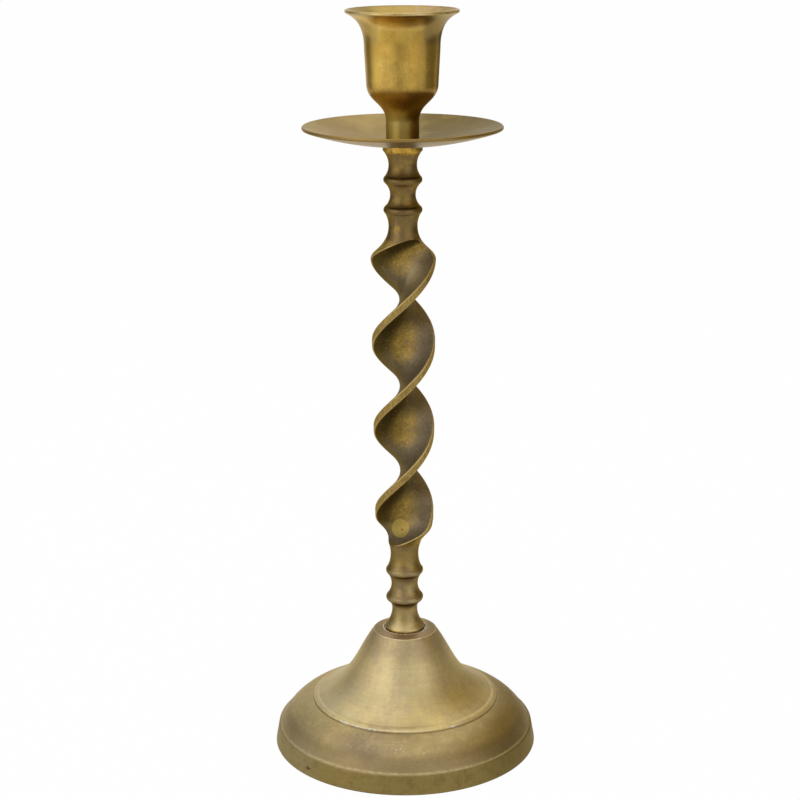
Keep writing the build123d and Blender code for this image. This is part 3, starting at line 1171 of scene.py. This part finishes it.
def cup_outline():
    """From the stud hole down the neck, up the outside, over the lip and down into the socket."""
    neck_top = cup_seat + neck_height
    body_low = neck_top + cup_bottom_rise
    body_high = body_low + cup_body_height
    lip_under = cup_rim - lip_thickness
    floor = body_low - socket_floor_drop
    stud_end = cup_seat + cup_stud_hole_depth
    bottom_pull = at(0, cup_bottom_rise * cup_bottom_pull_share)
    neck = at(neck_radius, neck_top)
    low = at(cup_low_radius, body_low)
    high = at(cup_high_radius, body_high)
    lip = at(lip_radius - lip_rounding, lip_under)
    lip_top = at(lip_radius - lip_rounding, cup_rim)
    mouth = at(lip_radius - lip_width, cup_rim)
    socket = at(socket_radius, floor + socket_depth)
    lean = math.radians(flare_lip_lean_deg)
    lip_direction = at(math.sin(lean), math.cos(lean))
    flare_pull = high + at(0, flare_body_pull)
    mouth_pull = mouth - lip_direction * socket_lip_pull
    return chain(
        through(
            (0, stud_end),
            (stud_hole_radius, stud_end),
            (stud_hole_radius, cup_seat),
            (neck_radius, cup_seat),
        ),
        small_rounding,
        line((neck_radius, cup_seat), neck, 6),
        bezier(neck, neck + bottom_pull, low - bottom_pull, low, cup_bottom_steps),
        line(low, high, 12),
        bezier(high, flare_pull, lip - lip_direction * flare_lip_pull, lip, cup_flare_steps),
        fine_rounding,
        arc(lip, (lip_radius, lip_under + lip_thickness / 2), lip_top, 8),
        line(lip_top, mouth, 2),
        ring_rounding,
        bezier(mouth, mouth_pull, socket + at(0, socket_flare_pull), socket, socket_steps),
        line(socket, (socket_radius, floor), 8),
        edge_rounding,
        line((socket_radius, floor), (0, floor), 4),
    )


def cup_finish():
    """Brushed gold, with painted highlight and shade on the body and neck, painted shade at the bottom and
    under the lip, and painted light below the lip.
    """
    look = Finish("cup_brass", pale_edge)
    x, z, up = look.x, look.z, look.facing_up
    clouds = look.noise(62.0, 3.0, 0.6)
    stains = look.noise(210.0, 5.0, 0.7)
    patches = look.noise(380.0, 5.0, 0.7)
    brushing = look.down_marks(26.0, 0.07)
    front = look.y.fade(0, -4)
    neck = z.fade(247, 243)
    flare = z.fade(266, 270) * up.fade(0.05, -0.15)
    # Painted light: the lip's underside, where it faces down and to the front or back, is made bright.
    under_lip = z.fade(268, 274) * up.fade(-0.3, -0.7) * abs(look.facing_x).fade(0.7, 0.4)
    colour = look.coats(
        (178, 145, 65),
        olive_clouds=((168, 138, 70), clouds.fade(0.4, 0.65)),
        gold_stains=((190, 157, 74), stains.fade(0.46, 0.66) * 0.5),
        brown_patches=((148, 113, 52), patches.fade(0.48, 0.66) * 0.45),
        brushing=((150, 122, 58), brushing.fade(0.5, 0.66) * 0.45),
        # Painted highlight: a broad bright band at the front left of the body.
        bright_left=((212, 178, 88), x.near(-9, 3) * front * 0.8),
        # Painted shade: darker at the front right of the body.
        dull_right=((148, 119, 52), x.near(5.4, 2.8) * front * 0.5),
        # Painted shade: the rounded bottom of the body is darker.
        bottom=((146, 110, 54), z.near(251, 5) * 0.7),
        # Painted light on the neck's left, painted shade on its right.
        neck_left=((184, 170, 108), neck * x.fade(3, 0) * 0.85),
        neck_right=((104, 82, 34), neck * x.fade(1, 4.5) * 0.55),
        under_lip=((246, 210, 122), under_lip),
        # Painted shade: faces below the lip that do not turn up are darker.
        throat=((154, 122, 56), z.near(267, 6) * up.fade(0.1, 0.0) * 0.45),
        # Painted shade on the right of the flare's underside, and a painted grey reflection on its left.
        flare_right=((126, 106, 62), flare * x.fade(5.5, 9) * 0.9),
        flare_left=((152, 130, 80), flare * x.fade(-7.5, -9.5) * 0.5),
    )
    return lip_marks(look, colour, clouds, stains, brushing)


def lip_marks(look, colour, clouds, stains, brushing):
    """The lip's edge, partly worn and partly painted highlight, the dull mouth, the dark socket and the wax
    left in it.
    """
    x, z, radius, up = look.x, look.z, look.radius, look.facing_up
    grain = look.speckle()
    top = up.fade(0.1, 0.3)
    crumbs = look.noise(420.0, 5.0, 0.75).fade(0.42, 0.66)
    wax = x.fade(-2, 9) * up.fade(0.3, 0.6) * z.fade(275, 277.5) * crumbs
    colour = look.coats(
        colour,
        mouth=((138, 119, 68), z.fade(264, 272) * top * 0.85),
        # Partly wear, partly painted highlight: the lip's outer edge is paler.
        lip=((174, 156, 106), radius.fade(19.0, 19.4) * (0.4 + 0.6 * stains.fade(0.4, 0.6))),
        inner_line=((96, 74, 42), radius.near(18.95, 0.4) * top * 0.6),
        socket=(brown_tarnish, radius.fade(11.7, 11.2) * z.fade(251, 252) * 0.75),
        wax=((182, 154, 130), wax * 0.7),
    )
    colour = look.toned(colour, 0.86 + 0.28 * grain)
    roughness = 0.3 + 0.12 * (clouds - 0.5) + 0.08 * (brushing - 0.5) + 0.25 * wax
    height = brushing * 0.6 + grain * 0.4 + wax
    return look.metal(colour, roughness, look.bump(height, 0.02), 1.0 - 0.5 * wax)


cup = turned("flared_cup", outline_object("cup_outline", cup_outline()), cup_columns, cup_finish())
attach(cup, "candle_cup")
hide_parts("candle_cup")

# %% [markdown]
# Threads
#
# Two steel studs hold the holder together. A thread follows a rule, too: a rod whose radius rises and falls
# once in each pitch, with the wave shifted a full pitch for each turn round the axis. The ends are
# chamfered, as cut rod is.

# %% Threaded studs
thread_pitch = 1.0
thread_depth = 0.55
thread_rows_per_pitch = 8
stud_columns = 40
stud_chamfer = 0.6
thread_sharp_deg = 60.0


def thread_tree():
    """A threaded rod between two heights."""
    sizes = ["Low", "High", "Radius", "Pitch", "Depth", "Chamfer"]
    inputs = [("Rows", "Int"), ("Material", "Material")] + [(name, "Float") for name in sizes]
    net = new_tree("Threaded rod", inputs)
    low, high, radius, pitch, depth, chamfer = [group_input(net, name) for name in sizes]
    rows = group_input(net, "Rows")
    grid, row, column = grid_of(net, rows, stud_columns)
    share = net.lowest(net.highest((row - 1) / (rows - 3), 0.0), 1.0)
    height = low + (high - low) * share
    angle = column * math.tau / stud_columns
    turns = height / pitch - column / stud_columns
    wave = abs(2 * net.math("FRACT", turns) - 1)
    end_gap = net.lowest(height - low, high - height)
    crest = net.lowest(radius - depth * wave, radius - chamfer + end_gap)
    capped = (row > 0.5) * (row < rows - 1.5)
    reach = crest * capped
    place = net.vector(*net.polar(reach, angle), height)
    return close_tree(net, grid, place)


def steel_finish():
    """Dulled zinc-plated steel."""
    look = Finish("fastener_steel", pale_edge)
    clouds = look.noise(300.0, 3.0, 0.6)
    colour = look.coats((176, 172, 162), dull_clouds=((128, 120, 106), clouds.fade(0.4, 0.65)))
    return look.metal(colour, 0.34 + 0.2 * (clouds - 0.5), look.bump(look.noise(1400.0), 0.01))


steel_material = steel_finish()
threaded = thread_tree()


def threaded_stud(name, node, body):
    """A threaded rod in place of a plain CAD stud."""
    low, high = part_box(node)
    length = (high.z - low.z) / mm
    values = {
        "Rows": round(length / thread_pitch * thread_rows_per_pitch) + 3,
        "Material": steel_material,
        "Low": low.z,
        "High": high.z,
        "Radius": high.x,
        "Pitch": thread_pitch * mm,
        "Depth": thread_depth * mm,
        "Chamfer": stud_chamfer * mm,
    }
    stud = grown(name, outline_object(name + "_seed", [(0, 0)]), threaded, values, thread_sharp_deg)
    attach(stud, body)
    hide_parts(node)


threaded_stud("threaded_base_stud", "base_stud", "stand")
threaded_stud("threaded_cup_stud", "cup_stud", "cup_stud")
for node in ("base_washer", "base_nut"):
    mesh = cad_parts[node].data
    mesh.materials.clear()
    mesh.materials.append(steel_material)

# %% [markdown]
# The studio
#
# Metal shows what stands around it, so the studio is part of the look: a white sweep behind and below, a
# soft box overhead, one to each side of the camera, and grey and warm cards that only show in reflections
# and give the round forms their darker flanks. The sweep is white to the camera and in reflections, and the
# floor keeps a soft shadow.


# %% Floor and white surroundings
def seen_directly(net):
    """1 for rays from the camera, or by way of a reflection or glass."""
    path = net.tree.nodes.new("ShaderNodeLightPath")
    rays = ("Is Camera Ray", "Is Glossy Ray", "Is Transmission Ray")
    camera_ray, glossy_ray, clear_ray = [Value(net, path.outputs[name]) for name in rays]
    return net.highest(camera_ray, net.highest(glossy_ray, clear_ray))


floor_radius = 9.0
white = (1.0, 1.0, 1.0, 1.0)
floor_white = (0.82, 0.82, 0.82, 1.0)
floor_glow_share = 0.985
floor_segments = 96
fill_strength = 0.45

floor_mesh = bpy.data.meshes.new("floor")
work = bmesh.new()
bmesh.ops.create_circle(work, cap_ends=True, radius=floor_radius, segments=floor_segments)
work.to_mesh(floor_mesh)
work.free()
floor = placed("floor", floor_mesh)
floor_material = bpy.data.materials.new("floor")
net = Net(blank(floor_material))
paper = net.node("ShaderNodeBsdfDiffuse", {"Color": floor_white})
glow = net.node("ShaderNodeEmission", {"Color": white, "Strength": 1.0})
seen_glow = seen_directly(net) * floor_glow_share
mixed = net.node("ShaderNodeMixShader", {0: seen_glow, 1: paper, 2: glow})
net.node("ShaderNodeOutputMaterial", {"Surface": mixed})
floor_mesh.materials.append(floor_material)

world = bpy.data.worlds.new("studio")
bpy.context.scene.world = world
net = Net(blank(world))
direct = seen_directly(net)
strength = direct + (1 - direct) * fill_strength
sky = net.node("ShaderNodeBackground", {"Color": white, "Strength": strength})
net.node("ShaderNodeOutputWorld", {"Surface": sky})
print("floor", floor_radius, "m, fill", fill_strength)


# %% Soft boxes and cards
def aim(made, place, target):
    """Stand something at a place and turn its face to a target."""
    made.location = place
    made.rotation_euler = (Vector(target) - Vector(place)).to_track_quat("-Z", "Y").to_euler()


def soft_box(name, place, target, width, height, radiance):
    """A flat rectangular lamp of an even brightness."""
    lamp = bpy.data.lights.new(name, "AREA")
    lamp.shape = "RECTANGLE"
    lamp.size = width
    lamp.size_y = height
    lamp.energy = radiance * math.pi * width * height
    aim(placed(name, lamp), place, target)


def grey_card(name, place, target, width, height, shade):
    """A card that only shows in reflections."""
    mesh = bpy.data.meshes.new(name)
    w, h = width / 2, height / 2
    mesh.from_pydata([(-w, -h, 0), (w, -h, 0), (w, h, 0), (-w, h, 0)], [], [(0, 1, 2, 3)])
    made = placed(name, mesh)
    material = bpy.data.materials.new(name)
    card = Net(blank(material))
    paint = card.node("ShaderNodeEmission", {"Color": tone(*shade), "Strength": 1.0})
    card.node("ShaderNodeOutputMaterial", {"Surface": paint})
    mesh.materials.append(material)
    aim(made, place, target)
    for ray in ("camera", "diffuse", "shadow", "transmission", "volume_scatter"):
        setattr(made, "visible_" + ray, False)


middle = (0.0, 0.0, 0.15)
olive_card = (110, 102, 72)
soft_box("overhead_box", (-0.16, 0.25, 1.35), middle, 1.56, 1.4, 0.95)
soft_box("left_box", (-0.9, -0.75, 0.55), middle, 0.9, 1.1, 1.05)
soft_box("right_box", (0.75, -0.95, 0.5), middle, 0.7, 1.0, 0.55)
grey_card("front_card", (-0.18, -1.1, 0.35), (-0.18, 0.0, 0.35), 0.32, 0.7, (188, 188, 188))
grey_card("left_card", (-0.75, 0.6, 0.3), (0.0, 0.6, 0.3), 0.7, 0.6, (146, 144, 138))
grey_card("left_top_card", (-0.75, 1.0, 1.1), (0.0, 1.0, 1.1), 1.2, 1.0, (194, 200, 204))
grey_card("right_card", (0.75, 0.16, 0.13), (0.0, 0.16, 0.13), 0.74, 0.26, olive_card)
grey_card("right_far_card", (0.53, 0.85, 0.1), (0.0, 0.0, 0.1), 0.6, 0.24, olive_card)
grey_card("right_top_card", (0.92, 0.55, 0.9), (0.02, 0.55, 0.61), 2.1, 0.95, (184, 160, 74))

# %% View transform
bpy.context.scene.view_settings.view_transform = "Standard"
